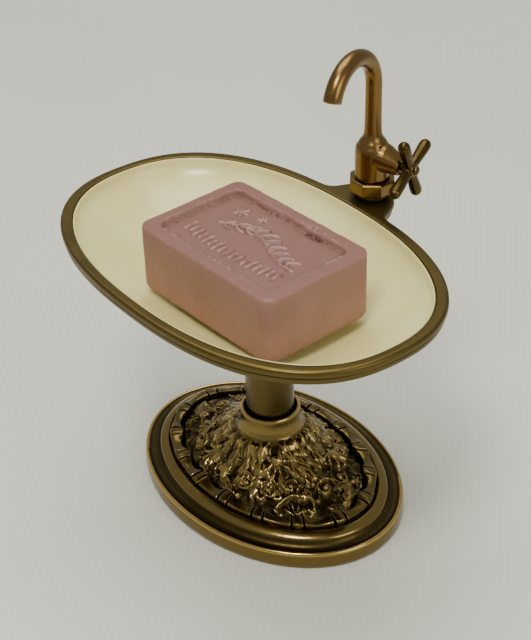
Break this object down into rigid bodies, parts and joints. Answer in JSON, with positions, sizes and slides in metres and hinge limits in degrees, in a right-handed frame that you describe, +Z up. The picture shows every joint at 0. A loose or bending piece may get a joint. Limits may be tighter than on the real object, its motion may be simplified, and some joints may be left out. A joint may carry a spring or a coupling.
{
  "type": "pedestal basin soap dish",
  "caption": "Table-top soap dish shaped like a pedestal wash basin: oval enamelled bowl on a stem and ornamental oval foot, with a small turning swan-neck tap and cross handle.",
  "frame": {"origin": "on the surface the dish stands on, under the middle of the stem", "axes": "+Z up, +X along the basin's length, +Y towards the tap at the back, -Y the open front"},
  "size_m": [0.1806, 0.1448, 0.1913],
  "materials": {
    "antique_brass": "antiqued, satin, darker in the hollows",
    "cream_enamel": "glossy fired enamel",
    "steel": "plain zinc plated",
    "green_felt": "pressed felt",
    "fibre": "matt",
    "rose_soap": "dry pressed soap, waxy"
  },
  "bodies": {
    "stand": {"base_felt_pad": "green_felt", "base_casting": "antique_brass", "stem_tube": "antique_brass", "tie_rod": "steel", "tie_rod_washer": "steel", "tie_rod_lock_washer": "steel", "tie_rod_nut": "steel", "basin_casting": "antique_brass", "basin_enamel": "cream_enamel", "ledge_gasket": "fibre"},
    "tap": {"tap_collar": "antique_brass", "tap_body": "antique_brass", "spout_pipe": "antique_brass", "tap_stud": "steel", "tap_washer": "steel", "tap_nut": "steel"},
    "handle": {"cross_handle": "antique_brass", "valve_spindle": "steel", "handle_screw": "antique_brass"},
    "soap": {"soap_bar": "rose_soap"}
  },
  "joints": [
    {"name": "tap_swivel", "type": "hinge", "parent": "stand", "child": "tap", "pos_m": [0, 0.0559, 0.1214], "axis": [0, 0, 1], "range_deg": [-70, 70]},
    {"name": "handle_turn", "type": "hinge", "parent": "tap", "child": "handle", "pos_m": [0, 0.0559, 0.138], "axis": [0.9511, 0.309, 0], "continuous": true},
    {"name": "soap_lift", "type": "slide", "parent": "stand", "child": "soap", "axis": [0, 0, 1], "range_m": [0, 0.1]}
  ]
}
